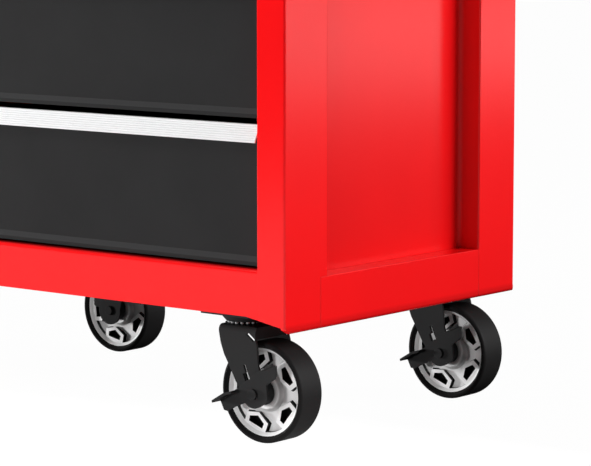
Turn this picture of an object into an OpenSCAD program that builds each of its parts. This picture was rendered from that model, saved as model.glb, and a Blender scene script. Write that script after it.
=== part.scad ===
// Rolling tool cabinet: a folded steel case with five drawers on ball slides,
// two braked swivel casters on the right and two rigid casters on the left.
// X runs to the right, Y to the back and Z up, with Z = 0 on the floor.

/* [Case] */
// Width over the two sides
case_w = 753.2; // [660:0.2:1000]
// Depth from the front face to the back face
case_d = 480; // [440:2:640]
// Thickness of the case's sheet steel
sheet = 1.2; // [0.8:0.1:1.8]
// Width of the posts, which is the width of the front stiles
post_w = 42; // [40:1:60]
// Depth of the front posts along the side
front_post_d = 81; // [76:1:100]
// Depth of the rear posts along the side
rear_post_d = 80; // [70:1:100]
// Bend radius of the case's upright corners
corner_r = 2.5; // [2:0.1:4]
// Height of the rails below and above the side panels
side_rail_h = 63; // [50:1:80]
// How far the side panels lie inside the side faces
recess = 31.5; // [20:0.5:36]
// Bend radius along the side panels' upright edges
panel_bend_r = 6; // [3:0.5:9]
// How far the side panels' edges lie inside the side faces
panel_edge_set = 1; // [0.5:0.1:3]
// Width of the rolled hem along the sides' lower edges
hem_w = 8; // [3:0.5:9]
// Height of the rolled hem
hem_h = 8; // [5:0.5:9]
// Distance from the front face to the seam between a front post and its rail
seam_y = 68.4; // [60:0.2:72]
// Width of the seams at the ends of the bottom rails
seam_gap = 0.5; // [0.3:0.1:1]

/* [Front frame] */
// Height of the front bottom rail
front_rail_h = 58; // [45:0.5:80]
// Height of the front top rail
top_rail_h = 36.2; // [32:0.2:60]
// Depth of the front rails' flanges at the drawer opening
rail_flange_d = 25; // [15:1:26]
// Radius of the front bottom rail's bend at the drawer opening
rail_bend_r = 4.5; // [2:0.1:6]
// Depth of the front bottom rail's lower flange
rail_lip_d = 8; // [5:0.5:9]
// Rise of the front's lower edge above the sides' lower edges
front_rise = 17.1; // [12:0.1:24]
// Rise of the front's lower edge at the corner itself
corner_rise = 6.8; // [3:0.1:10]
// Length of the slope of the front's lower edge beside a corner
slope_w = 60; // [50:1:90]
// Length of the cut-away toe of a side behind its corner
toe_d = 13; // [8:0.5:20]

/* [Floor and top] */
// Thickness of the floor pan
pan_t = 1.5; // [1:0.1:3]
// Height of the floor pan's turned-up edges
pan_edge_h = 25; // [12:1:40]
// Height of the top cap
cap_h = 25; // [18:1:40]
// Width of the top cap's raised rim
rim_w = 22; // [12:1:40]
// Depth of the tray inside the rim
tray_d = 5; // [3:0.5:8]
// Gap between the mat and the rim
mat_gap = 0.5; // [0.3:0.1:2]
// Thickness of the mat under its ribs
mat_t = 3; // [2:0.1:4]
// Height of the mat's ribs
mat_rib_h = 1.2; // [0.5:0.1:2]
// Distance from rib to rib of the mat
mat_pitch = 12; // [8:1:20]
// Share of the mat's pitch that a rib takes
mat_rib_share = 0.5; // [0.3:0.05:0.7]

/* [Drawers] */
// Height from the lowest drawer to the next
pitch_1 = 177.6; // [76:0.2:240]
// Height from the second drawer to the third
pitch_2 = 177.6; // [76:0.2:240]
// Height from the third drawer to the fourth
pitch_3 = 102; // [76:0.2:200]
// Height from the fourth drawer to the fifth
pitch_4 = 102; // [76:0.2:200]
// Height of the fifth drawer's place
pitch_5 = 76; // [76:0.2:200]
// Gap under the lowest drawer
drawer_foot_gap = 3; // [1.5:0.1:5]
// Dark gap above each pull
pull_gap = 7.4; // [4:0.2:10]
// Gap beside a drawer front
drawer_side_gap = 3; // [2:0.1:5]
// How far the drawer faces lie behind the case's front
drawer_recess = 12; // [11:0.5:14]
// How far the lower lip stands in front of the drawer face
lip_proud = 3; // [1:0.2:5]
// Height of the lower lip
lip_h = 4.7; // [3:0.1:8]
// Height of the slanted band above the lip
lip_slant_h = 6.6; // [4:0.1:12]
// Thickness of the folded drawer front
front_t = 10; // [8:0.5:11]
// Thickness of the drawers' sheet steel
box_sheet = 1; // [0.7:0.1:1.2]
// Height of a drawer's floor above its lip
box_rise = 8; // [4:0.5:8]
// Height of a drawer front above its side walls
box_drop = 23; // [14:0.5:24]
// Gap between a drawer's back and the case's back face
box_back_gap = 25; // [12:1:40]

/* [Pulls] */
// Height of the pull's ribbed face
pull_h = 21; // [16:0.5:26]
// How far the pull's upper edge lies behind the case's front
pull_top_set = 9; // [5:0.5:9]
// Gap beside a pull's ends
pull_side_gap = 4.2; // [2:0.1:6]
// Wall thickness of the pull
pull_t = 1.8; // [1.2:0.1:2.2]
// Height of the pull's flange on the drawer face
pull_flange_h = 16; // [10:0.5:18]
// Count of ribs on the pull's face
pull_ribs = 8; // [5:1:12]
// Height of the pull's ribs
pull_rib_h = 0.5; // [0.2:0.1:0.8]
// Share of a rib's pitch that each of its flanks takes
pull_rib_flank = 0.25; // [0.1:0.05:0.4]

/* [Slides] */
// Height of the cabinet rail of a slide
slide_h = 35; // [30:0.5:36]
// Thickness of a closed slide between post and drawer
slide_t = 12.7; // [11:0.1:16]
// Wall of the slide members
slide_wall = 1.4; // [1:0.1:1.6]
// Ball gap between the slide members' edges
ball_gap = 0.45; // [0.3:0.05:0.7]
// Gap between a slide's webs
web_gap = 1.2; // [0.8:0.1:1.4]
// Length of the slide members
slide_len = 426; // [380:2:426]
// Distance from the case's front to the slides
slide_set = 26; // [25:0.5:30]
// Height of a slide's lower edge above the drawer's floor
slide_rise = 0.6; // [0.2:0.1:1]

/* [Caster layout] */
// Distance from a side to the casters' mounting centre
caster_inset_x = 101.9; // [90:0.1:140]
// Distance from the front or back to the caster plates
plate_set_y = 9.9; // [9.5:0.1:30]
// Distance the swivel wheels trail behind their kingpins
trail = 42.6; // [38:0.1:48]
// Rim of a caster plate beyond its bolts along X
plate_rim_x = 9; // [9:0.5:14]
// Rim of a caster plate beyond its bolts along Y
plate_rim_y = 8.5; // [8.5:0.5:10]
// Thickness of a caster plate
plate_t = 4; // [3:0.1:6]
// Spacing of the plate's bolts along X
bolt_span_x = 58; // [58:0.5:64]
// Spacing of the plate's bolts along Y
bolt_span_y = 60; // [60:0.5:64]
// Radius of the plate's bolts
bolt_r = 4; // [3:0.1:4.5]
// Play of the bolts in their holes
bolt_play = 0.2; // [0.1:0.05:0.5]
// Radius of the bolts' sunk heads
bolt_head_r = 7; // [6:0.1:7.5]
// Height of the bolts' sunk heads
bolt_head_h = 3; // [2:0.1:3]
// Radius of the bolts' nuts over their corners
nut_r = 7.2; // [6.5:0.1:8]
// Height of the bolts' nuts
nut_h = 5.3; // [4:0.1:7]
// Room round the bolts' heads
bolt_room = 1.3; // [0.5:0.1:3]

/* [Swivel heads] */
// Height of the swivel head between plate and fork
head_h = 11.8; // [11:0.1:18]
// Radius of the head's dish at the plate
dish_top_r = 30; // [28:0.2:31]
// Radius of the dish at its shoulder
dish_mid_r = 27.7; // [26:0.1:29]
// Height of the dish's shoulder over its lower edge
dish_mid_h = 5; // [3:0.2:7]
// Radius of the dish at its lower edge
dish_low_r = 23.4; // [23.2:0.1:25]
// Wall of the dish's skirt
skirt_w = 1.2; // [0.8:0.1:1.4]
// Radius of the bearing balls
ball_r = 2.2; // [1.5:0.1:2.4]
// Radius of the ring that the balls lie on
ball_ring_r = 19.8; // [17:0.1:19.8]
// Count of balls in a ring
ball_count = 18; // [10:1:20]
// Clearance of the balls in their race
ball_clear = 0.3; // [0.2:0.05:0.5]
// Depth of the balls' race in the fork's crown
race_sink = 1.3; // [1:0.1:2.5]
// How much of the balls the skirt leaves bare
ball_bare = 4; // [2.5:0.1:4]
// Radius of a kingpin
kingpin_r = 6; // [5:0.1:8]
// Radius of a kingpin's heads
kingpin_head_r = 12; // [9:0.1:13]
// Height of a kingpin's upper head
kingpin_top_h = 3; // [2:0.1:3.5]
// Height of a kingpin's lower head
kingpin_low_h = 8; // [3:0.1:9]
// Radial running clearance of shafts in their bores
running = 0.06; // [0.02:0.01:0.1]
// Gap between faces that move past each other
side_gap = 0.3; // [0.2:0.05:0.6]

/* [Forks] */
// Thickness of the fork legs
leg_t = 3; // [2.5:0.1:4]
// Gap between a tyre's side and a fork leg
leg_gap = 8.2; // [6:0.1:10]
// Thickness of the fork's crown
crown_t = 4.5; // [4:0.1:6]
// Gap between the wheel's top and the crown's top
crown_gap = 18; // [17:0.5:22]
// Radius of the fork's outer bends
fork_bend_r = 7; // [3.5:0.1:8]
// Radius of the crown's ball race plate
crown_r = 24; // [23:0.5:28]
// Reach of the leg's top behind the kingpin
leg_back_x = 14.5; // [13:0.5:18]
// Reach of the crown's apron before the kingpin
apron_x = 43.6; // [42:0.1:45]
// Height of the apron from the crown's top
apron_h = 14.7; // [10:0.1:15]
// Width of the slits between the legs and the apron
slit_w = 3.8; // [1:0.1:4]
// Length of the slits
slit_l = 15; // [8:0.5:16]
// Metal left in front of the slits
slit_bridge = 1; // [0.5:0.1:3]
// Slope of the slits
slit_slope = 36; // [20:1:50]
// Width of the slots in the legs
slot_w = 8; // [5:0.1:9]
// Width of the slots' upper end
slot_end_w = 3; // [2:0.1:4]
// Height of the slots' wide part
slot_h = 10; // [6:0.1:12]
// Height of the slots with their upper end
slot_full_h = 19.5; // [13:0.1:22]
// Lean of the slots
slot_lean = 24; // [0:1:35]
// Radius of a swivel fork leg's rounded end
leg_end_r = 17; // [15:0.5:20]
// Radius of a rigid fork leg's rounded end
rigid_end_r = 20.7; // [18:0.1:22]
// Half width of a rigid fork's leg at its shoulder
rigid_mid_x = 30; // [22:0.5:34]
// Height of the rigid leg's shoulder over the axle
rigid_mid_h = 42; // [35:0.5:60]
// Corner cut off the outer edge of a rigid fork's leg
rigid_ear_cut = 3; // [1:0.1:6]
// Height of the rigid leg's heel over the axle
rigid_heel_h = 3; // [0:0.5:8]
// Radius of the axles
axle_r = 5; // [4:0.1:5.5]
// Play of the axles in the fork legs
axle_play = 0.2; // [0.1:0.05:0.4]
// Radius of the axles' heads and nuts
axle_head_r = 6.6; // [6.5:0.1:9]
// Height of the axles' heads and nuts
axle_head_h = 3; // [2:0.1:6]
// Radius of the axles' spacers
spacer_r = 15.5; // [10:0.5:16.5]

/* [Wheels] */
// Outer radius of the tyres
tyre_r = 62.5; // [56:0.5:70]
// Width of the tyres
tyre_w = 43; // [38:0.5:50]
// Rounding of the tyres' shoulders
shoulder_r = 4.6; // [3:0.1:5]
// Outer radius of the hubs
hub_r = 54.2; // [52:0.1:55]
// Clearance between hub and tyre
hub_fit = 0.05; // [0.02:0.01:0.2]
// How far the rim lies inside the tyre's side
rim_set = 4.6; // [4:0.1:6]
// Width of the hub's rim face
rim_face_w = 4.4; // [3:0.1:5]
// Draft of the rim's inner face
rim_draft = 0.5; // [0.3:0.1:2]
// Half thickness of the hub's web
web_half = 8; // [6:0.1:10]
// Half thickness of the floors of the hub's windows
pane_half = 1.5; // [1:0.1:3]
// Height of the window frames over the web
frame_h = 5; // [3:0.1:6]
// Width of the window frames
frame_w = 5.9; // [3:0.1:6.5]
// Width of the grooves beside the window frames
groove_w = 1.4; // [1:0.1:2]
// Depth of the grooves beside the window frames
groove_d = 2.5; // [1:0.1:5]
// Count of windows in a hub
window_count = 5; // [4:1:5]
// Radius of a window's inner point
window_tip_r = 32.7; // [32:0.1:35]
// Radius of a window's shoulders
window_shoulder_r = 38.3; // [37:0.1:42]
// Radius of a window's outer corners
window_outer_r = 45; // [44:0.1:47]
// Half width of a window at its shoulders
window_shoulder_w = 11.6; // [7:0.1:12]
// Half width of a window at its outer corners
window_outer_w = 11; // [7:0.1:12]
// Radius of the hub's boss
boss_r = 20.5; // [18:0.5:21]
// Radius where the boss's cone meets the web
cone_r = 25.5; // [24:0.5:26]
// Half length of the hub's boss
boss_half = 14; // [13:0.1:16]
// Turn of the windows on the swivel wheels
swivel_wheel_turn = -38; // [-72:1:72]
// Turn of the windows on the rigid wheels
rigid_wheel_turn = -30; // [-72:1:72]

/* [Brakes] */
// Thickness of the brake pedals
pedal_t = 3; // [2:0.1:4]
// Radius of a pedal around the axle
pedal_r = 17.4; // [15:0.1:18]
// How far a pedal's tab is bent outwards
tab_out = 13; // [8:0.5:14]
// Height of a pedal's upper lip along its slope
lip_run = 4.2; // [3:0.1:4.2]
// Length of a pedal's upper lip
lip_l = 15; // [10:0.5:16]
// Inward slope of a pedal's upper lip
lip_slope = 45; // [20:1:60]

/* [Handle] */
// Radius of the push handle's tube
handle_r = 12.5; // [10:0.5:16]
// Length of the tube
handle_len = 420; // [400:5:440]
// Distance from the side face to the middle of the tube
handle_stand = 55; // [40:1:80]
// Height of the tube below the top of the posts
handle_drop = 45; // [35:1:120]
// Distance from the middle to each bracket
bracket_y = 190; // [185:1:196]
// Width of a bracket along the tube
bracket_w = 26; // [18:1:36]
// Wall of a bracket around the tube
bracket_wall = 4; // [3:0.5:6]
// Height of a bracket's foot on the post
foot_h = 62; // [50:1:68]
// Thickness of a bracket's foot
foot_t = 4; // [3:0.5:6]
// Clearance of the tube in its brackets and on its caps
handle_fit = 0.05; // [0.02:0.01:0.2]
// Wall of the tube
handle_wall = 2; // [1.5:0.1:3]
// Thickness of the caps on the tube's ends
end_cap_t = 3; // [2:0.5:6]
// Length of the caps inside the tube
end_cap_l = 15; // [8:1:25]

/* [Lock] */
// Radius of the lock's outer flange
lock_flange_r = 12; // [11:0.5:15]
// How far the lock stands in front of the case
lock_proud = 2; // [1:0.1:4]
// Radius of the lock's housing
lock_body_r = 10; // [9:0.1:11]
// Length of the housing behind the case's front
lock_body_l = 18; // [14:1:20]
// Radius of the turning cylinder
lock_core_r = 7; // [6:0.1:8]
// Length of the lock's cam from its middle
cam_l = 14; // [11:0.5:15]
// Width of the cam
cam_w = 9; // [7:0.5:12]
// Thickness of the cam
cam_t = 2; // [1.5:0.1:3]
// Length of the key slot
key_l = 8; // [6:0.5:10]
// Width of the key slot
key_w = 1.6; // [1:0.1:2.5]
// Depth of the key slot
key_d = 6; // [3:0.5:10]

/* [Hidden] */
$fn = 48;
over = 1;
pitches = [pitch_1, pitch_2, pitch_3, pitch_4, pitch_5];
drawer_count = len(pitches);
drawer_rows = [for (i = [0:drawer_count - 1]) i];

// Places across the case
side_x = case_w / 2;
inner_x = side_x - post_w;
panel_x = side_x - recess;
front_y = -case_d / 2;
back_y = case_d / 2;
front_post_y = front_y + front_post_d;
rear_post_y = back_y - rear_post_d;

// Heights, stacked up from the floor
axle_z = tyre_r;
crown_z = 2 * tyre_r + crown_gap;
plate_z = crown_z + head_h;
floor_z = plate_z + plate_t;
base_z = floor_z - front_rise;
opening_z = floor_z + front_rail_h;
opening_top_z = opening_z + first_sum(pitches, drawer_count);
post_top_z = opening_top_z + top_rail_h;
cap_z = post_top_z + cap_h;
panel_z = base_z + side_rail_h;
panel_top_z = post_top_z - side_rail_h;
apron_z = base_z - over;
// Radius of the hem's outer corner, limited by the hem's height
hem_r = min(hem_w / 2, hem_h - sheet);

// Caster values
plate_x = bolt_span_x + 2 * plate_rim_x;
plate_y = bolt_span_y + 2 * plate_rim_y;
caster_x = side_x - caster_inset_x;
caster_y = back_y - plate_set_y - plate_y / 2;
leg_in = tyre_w / 2 + leg_gap;
leg_out = leg_in + leg_t;
ball_z = crown_z - race_sink + ball_clear + ball_r;
race_z = ball_z + ball_r + ball_clear;
skirt_z = crown_z - race_sink + ball_bare;
race_half = ball_r + ball_clear;
pedal_in = leg_out + side_gap;
pedal_out = pedal_in + pedal_t;
rim_half = tyre_w / 2 - rim_set;
frame_top = web_half + frame_h;
// Largest share of a tyre's wall that its shoulders may round off
shoulder_limit = 0.8;

// Slide values, from the post inwards
slide_out_x = inner_x;
box_x = inner_x - slide_t;
mid_web_x = slide_out_x - slide_wall - web_gap;
mid_half_h = slide_h / 2 - slide_wall - ball_gap;
core_half_h = mid_half_h - slide_wall - ball_gap;
core_edge_x = mid_web_x - slide_wall - web_gap;
slide_y = front_y + slide_set;

// Pull values, in the section behind the front face
pull_run = sqrt(pull_h * pull_h + pull_top_set * pull_top_set);
pull_lean = atan2(pull_top_set, pull_h);

// Outline of a swivel leg's back edge, from the top: X in shares of the trail from the kingpin,
// height in shares of the tyre's radius over the axle
leg_back_shape = [[-0.333, 1.144], [-0.268, 0.925], [-0.143, 0.707], [0.016, 0.53], [0.284, 0.21],
    [0.718, -0.192]];
// Outline of a swivel leg's front edge, from the bottom, in the same shares
leg_fore_shape = [[1.366, 0.109], [1.117, 0.555], [1.068, 0.944]];
// Middle of a leg's slot at its foot, in the same shares
slot_place = [0.735, 0.245];
// Outline of a brake pedal from the axle, in shares of its radius: treadle arm, heel and wing
pedal_shape = [[-2.99, -0.75], [-2.66, -1.4], [-2.3, -1.45], [-1.69, -1.08], [-0.82, -0.71],
    [1.1, -0.62], [1.28, -0.29], [1.17, 0.77], [1.86, 1.25], [2.05, 1.54], [1.99, 2.2], [1.69, 2.24],
    [0.49, 1.67], [-0.03, 1.38], [-0.29, 1.06], [-0.63, 0.91], [-1.41, 0.27], [-1.72, 0.09],
    [-2.64, -0.38]];
// Section of a pedal's bent tab, in the same shares
tab_shape = [[-3.16, -0.68], [-2.84, -0.48], [-2.07, -0.02], [-1.38, 0.18], [-1.41, 0],
    [-2.01, -0.2], [-2.8, -0.66], [-3.12, -0.84]];
// Upper end of a pedal's lip, and the corner below it, in the same shares
lip_top = pedal_shape[11];
lip_foot = pedal_shape[12];
// Growth of a window's tip and drop of its shoulders, in shares of the frame's width
tip_share = 0.8;
shoulder_share = 0.5;

handle_z = post_top_z - handle_drop;
handle_x = side_x + handle_stand;
handle_reach = handle_stand + handle_r + bracket_wall;
lock_z = opening_top_z + top_rail_h / 2;

rows = ["front", "rear"];
corners = ["front_right", "rear_right", "front_left", "rear_left"];
case_nodes = ["right_front_post", "left_front_post", "rear_posts", "right_side_panel",
    "left_side_panel", "right_bottom_rail", "left_bottom_rail", "side_top_rails",
    "front_bottom_rail", "front_top_rail", "back_panel", "floor_pan", "top_cap", "top_mat",
    "slide_rails", "push_handle", "handle_caps", "handle_brackets", "lock_housing", "lock_cylinder"];
caster_nodes = ["swivel_plates", "kingpins", "swivel_balls", "rigid_forks", "rigid_axles",
    "caster_bolts"];

// Sum of a list's first values
function first_sum(list, count) = count == 0 ? 0 : list[count - 1] + first_sum(list, count - 1);
// Height of a drawer's lower lip
function drawer_z(i) = opening_z + drawer_foot_gap + first_sum(pitches, i);
// Height of a drawer front
function drawer_h(i) = pitches[i] - pull_gap;
// Outline of a hub's window, grown by a margin
function window_outline(m) = [
    [window_tip_r - tip_share * m, 0],
    [window_shoulder_r - shoulder_share * m, -window_shoulder_w - m],
    [window_outer_r + m, -window_outer_w - m],
    [window_outer_r + m, window_outer_w + m],
    [window_shoulder_r - shoulder_share * m, window_shoulder_w + m]];
// A point of a swivel leg's outline from its shares
function leg_point(share) = [share[0] * trail, axle_z + share[1] * tyre_r];
// Side of a corner's name: 1 on the right, -1 on the left
function corner_side(i) = i < 2 ? 1 : -1;
// Row of a corner's name: -1 at the front, 1 at the back
function corner_row(i) = i % 2 == 0 ? -1 : 1;

// Puts the origin on the floor, in the middle of the whole cabinet with its handle and lock
module placed() {
    translate([-handle_reach / 2, lock_proud / 2, 0])
        children();
}

// A piece drawn for the right, as it is or mirrored to the left
module on_side(side) {
    if (side < 0) {
        mirror([1, 0, 0])
            children();
    } else {
        children();
    }
}

module both_sides() {
    for (side = [1, -1])
        on_side(side)
            children();
}

// A box between two corners
module block(low, high) {
    translate(low)
        cube(high - low);
}

// An outline in X and Z, drawn out from y0 to y1
module along_y(y0, y1) {
    translate([0, y1, 0])
        rotate([90, 0, 0])
            linear_extrude(y1 - y0)
                children();
}

// An outline in Y and Z, drawn out from x0 to x1
module along_x(x0, x1) {
    translate([x0, 0, 0])
        rotate([90, 0, 90])
            linear_extrude(x1 - x0)
                children();
}

module rect(x0, y0, x1, y1) {
    translate([x0, y0])
        square([x1 - x0, y1 - y0]);
}

// A rectangle with four round corners
module round_rect(x0, y0, x1, y1, r) {
    rect(x0 + r, y0, x1 - r, y1);
    rect(x0, y0 + r, x1, y1 - r);
    for (x = [x0 + r, x1 - r], y = [y0 + r, y1 - r])
        translate([x, y])
            circle(r = r);
}

// A rectangle whose corner at x1, y0 alone is round
module bent_rect(x0, y0, x1, y1, r) {
    rect(x0, y0, x1 - r, y1);
    rect(x0, y0 + r, x1, y1);
    translate([x1 - r, y0 + r])
        circle(r = r);
}

// A post's folded section, from its outer corner at x1, y0
module post_section(x0, y0, x1, y1) {
    difference() {
        bent_rect(x0, y0, x1, y1, corner_r);
        bent_rect(x0 + sheet, y0 + sheet, x1 - sheet, y1 - sheet, corner_r - sheet / 2);
    }
}

// The rolled hem along a side's lower edge, still with its square corner
module hem(y0, y1) {
    block([side_x - hem_w, y0, base_z], [side_x, y1, base_z + hem_h]);
}

// What the rounding of the hem's outer corner takes away
module hem_corner(y0, y1) {
    along_y(y0, y1)
        difference() {
            rect(side_x - hem_r, apron_z, side_x + over, base_z + hem_r);
            translate([side_x - hem_r, base_z + hem_r])
                circle(r = hem_r);
        }
}

module front_post(side) {
    slope_x = side_x - slope_w;
    color("red")
        on_side(side)
            difference() {
                union() {
                    translate([0, 0, base_z])
                        linear_extrude(post_top_z - base_z)
                            post_section(inner_x, front_y, side_x, front_post_y);
                    hem(front_y + sheet, front_y + seam_y);
                }
                block([inner_x - over, front_y + sheet, apron_z],
                    [side_x - hem_w, front_post_y + over, floor_z]);
                block([inner_x - over, front_y + seam_y, apron_z],
                    [side_x + over, front_post_y + over, panel_z]);
                along_y(front_y - over, front_y + corner_r)
                    polygon([[slope_x, floor_z], [side_x, base_z + corner_rise],
                        [side_x, apron_z], [slope_x, apron_z]]);
                along_x(side_x - hem_w - over, side_x + over)
                    polygon([[front_y - over, base_z + corner_rise], [front_y, base_z + corner_rise],
                        [front_y + toe_d, base_z], [front_y + toe_d, apron_z], [front_y - over, apron_z]]);
                hem_corner(front_y - over, front_y + seam_y + over);
            }
}

module rear_posts() {
    color("red")
        both_sides()
            difference() {
                union() {
                    translate([0, 0, base_z])
                        linear_extrude(post_top_z - base_z)
                            mirror([0, 1])
                                post_section(inner_x, -back_y, side_x, -rear_post_y);
                    hem(rear_post_y, back_y - sheet);
                }
                block([inner_x - over, rear_post_y - over, apron_z],
                    [side_x - hem_w, back_y - sheet, floor_z]);
                hem_corner(rear_post_y - over, back_y + over);
            }
}

module side_panel(side) {
    color("firebrick")
        on_side(side)
            translate([0, 0, panel_z])
                linear_extrude(panel_top_z - panel_z)
                    intersection() {
                        difference() {
                            round_rect(panel_x - sheet, front_post_y, side_x + post_w, rear_post_y,
                                panel_bend_r + sheet);
                            round_rect(panel_x, front_post_y + sheet, side_x + post_w,
                                rear_post_y - sheet, panel_bend_r);
                        }
                        rect(inner_x, front_post_y, side_x - panel_edge_set, rear_post_y);
                    }
}

// A rail's folded section: outer face, ledge and inner face
module side_rail_section(z0, z1, inner_z) {
    rect(side_x - sheet, z0, side_x, z1);
    rect(inner_x, z1 - sheet, side_x, z1);
    rect(inner_x, inner_z, inner_x + sheet, z1);
}

module bottom_rail(side) {
    rail_y0 = front_y + seam_y + seam_gap;
    rail_y1 = rear_post_y - seam_gap;
    color("red")
        on_side(side)
            difference() {
                union() {
                    along_y(rail_y0, rail_y1)
                        side_rail_section(base_z, panel_z, floor_z);
                    hem(rail_y0, rail_y1);
                }
                hem_corner(rail_y0 - over, rail_y1 + over);
            }
}

module side_top_rails() {
    color("red")
        both_sides()
            along_y(front_post_y, rear_post_y)
                translate([0, panel_top_z + post_top_z])
                    mirror([0, 1])
                        side_rail_section(panel_top_z, post_top_z, panel_top_z);
}

module front_bottom_rail() {
    slope_x = side_x - slope_w;
    end_z = floor_z - (floor_z - base_z - corner_rise) * (inner_x - slope_x) / slope_w;
    bend_y = front_y + rail_bend_r;
    bend_z = opening_z - rail_bend_r;
    color("red") {
        along_y(front_y, front_y + sheet)
            polygon([[-inner_x, end_z], [-slope_x, floor_z], [slope_x, floor_z], [inner_x, end_z],
                [inner_x, bend_z], [-inner_x, bend_z]]);
        along_x(-inner_x, inner_x)
            translate([bend_y, bend_z])
                intersection() {
                    difference() {
                        circle(r = rail_bend_r);
                        circle(r = rail_bend_r - sheet);
                    }
                    rect(-rail_bend_r - over, 0, 0, rail_bend_r + over);
                }
        block([-inner_x, bend_y, opening_z - sheet], [inner_x, front_y + rail_flange_d, opening_z]);
        block([-inner_x, front_y, floor_z], [inner_x, front_y + rail_lip_d, floor_z + sheet]);
    }
}

module front_top_rail() {
    color("red")
        difference() {
            union() {
                block([-inner_x, front_y, opening_top_z], [inner_x, front_y + sheet, post_top_z]);
                block([-inner_x, front_y, opening_top_z],
                    [inner_x, front_y + rail_flange_d + lock_body_l, opening_top_z + sheet]);
            }
            lock_hole(front_y - over, front_y + sheet + over);
        }
}

// The round hole for the lock's housing
module lock_hole(y0, y1) {
    along_y(y0, y1)
        translate([0, lock_z])
            circle(r = lock_body_r + running);
}

module back_panel() {
    color("red")
        block([-inner_x, back_y - sheet, floor_z], [inner_x, back_y, post_top_z]);
}

module floor_pan() {
    pan_y0 = front_y + rail_lip_d;
    pan_y1 = back_y - sheet;
    color("dimgray")
        difference() {
            block([-inner_x, pan_y0, floor_z], [inner_x, pan_y1, floor_z + pan_edge_h]);
            block([-inner_x + pan_t, pan_y0 + pan_t, floor_z + pan_t],
                [inner_x - pan_t, pan_y1 - pan_t, floor_z + pan_edge_h + over]);
            at_bolts()
                translate([0, 0, floor_z - over])
                    cylinder(r = bolt_r + bolt_play, h = pan_t + 2 * over);
        }
}

module top_cap() {
    tray_z = cap_z - tray_d;
    color("red")
        difference() {
            translate([0, 0, post_top_z])
                linear_extrude(cap_h)
                    round_rect(-side_x, front_y, side_x, back_y, corner_r);
            block([-side_x + sheet, front_y + sheet, post_top_z - over],
                [side_x - sheet, back_y - sheet, tray_z - sheet]);
            translate([0, 0, tray_z])
                linear_extrude(tray_d + over)
                    round_rect(-side_x + rim_w, front_y + rim_w, side_x - rim_w, back_y - rim_w, corner_r);
        }
}

module top_mat() {
    half_x = side_x - rim_w - mat_gap;
    half_y = back_y - rim_w - mat_gap;
    mat_z = cap_z - tray_d;
    ribs = floor(half_x / mat_pitch);
    rib_w = mat_rib_share * mat_pitch;
    color("black") {
        translate([0, 0, mat_z])
            linear_extrude(mat_t)
                round_rect(-half_x, -half_y, half_x, half_y, corner_r);
        for (i = [-ribs + 1:ribs - 1])
            block([i * mat_pitch - rib_w / 2, -half_y + mat_pitch, mat_z + mat_t],
                [i * mat_pitch + rib_w / 2, half_y - mat_pitch, mat_z + mat_t + mat_rib_h]);
    }
}

// A slide member's section: an upright web and two edges, open towards the drawer
module slide_section(web_x, edge_x, half_h) {
    low_x = min(web_x, edge_x);
    high_x = max(web_x, edge_x);
    web_low = web_x > edge_x ? web_x - slide_wall : web_x;
    rect(web_low, -half_h, web_low + slide_wall, half_h);
    rect(low_x, -half_h, high_x, -half_h + slide_wall);
    rect(low_x, half_h - slide_wall, high_x, half_h);
}

// A pair of slide members at a drawer's height
module slide_pair(i, web_x, edge_x, half_h) {
    middle_z = drawer_z(i) + box_rise + slide_rise + slide_h / 2;
    both_sides()
        along_y(slide_y, slide_y + slide_len)
            translate([0, middle_z])
                slide_section(web_x, edge_x, half_h);
}

module slide_rails() {
    color("silver")
        for (i = drawer_rows)
            slide_pair(i, slide_out_x, box_x + slide_wall + web_gap, slide_h / 2);
}

module slide_middle(i) {
    color("gainsboro")
        slide_pair(i, mid_web_x, box_x + slide_wall + web_gap / 2, mid_half_h);
}

module drawer_rails(i) {
    color("silver")
        slide_pair(i, box_x, core_edge_x, core_half_h);
}

// A drawer front's folded outline in Y and Z, set in by a wall at its inside
module front_outline(h, wall, drop) {
    face_y = front_y + drawer_recess + wall;
    polygon([[face_y - lip_proud, -drop], [face_y - lip_proud, lip_h],
        [face_y, lip_h + lip_slant_h], [face_y, h - wall],
        [front_y + drawer_recess + front_t - wall, h - wall],
        [front_y + drawer_recess + front_t - wall, -drop]]);
}

module drawer(i) {
    h = drawer_h(i);
    front_x = inner_x - drawer_side_gap;
    box_y0 = front_y + drawer_recess + front_t - sheet;
    box_y1 = back_y - box_back_gap;
    wall_z = h - box_drop;
    color("dimgray")
        translate([0, 0, drawer_z(i)]) {
            difference() {
                along_x(-front_x, front_x)
                    front_outline(h, 0, 0);
                along_x(-front_x + sheet, front_x - sheet)
                    front_outline(h, sheet, over);
            }
            difference() {
                block([-box_x, box_y0, box_rise], [box_x, box_y1, wall_z]);
                block([-box_x + box_sheet, box_y0 - over, box_rise + box_sheet],
                    [box_x - box_sheet, box_y1 - box_sheet, wall_z + over]);
            }
        }
}

// A pull's section in Y and Z below its upper edge, with its ribbed face towards the front
module pull_outline() {
    face_y = front_y + drawer_recess;
    rib = pull_run / pull_ribs;
    flank = rib * pull_rib_flank;
    translate([front_y + pull_top_set, 0])
        rotate(-pull_lean)
            translate([0, -pull_run]) {
                rect(pull_rib_h, 0, pull_t, pull_run);
                for (k = [0:pull_ribs - 1])
                    translate([0, k * rib])
                        polygon([[pull_rib_h, 0], [pull_rib_h, rib], [0, rib - flank], [0, flank]]);
            }
    rect(front_y + pull_top_set + pull_rib_h, -pull_t, face_y, 0);
    rect(face_y - pull_t, -pull_flange_h, face_y, 0);
}

module drawer_pull(i) {
    half = inner_x - pull_side_gap;
    color("whitesmoke")
        translate([0, 0, drawer_z(i) + drawer_h(i)])
            along_x(-half, half)
                pull_outline();
}

module push_handle() {
    color("silver")
        along_y(-handle_len / 2, handle_len / 2)
            translate([handle_x, handle_z])
                difference() {
                    circle(r = handle_r);
                    circle(r = handle_r - handle_wall);
                }
}

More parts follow.
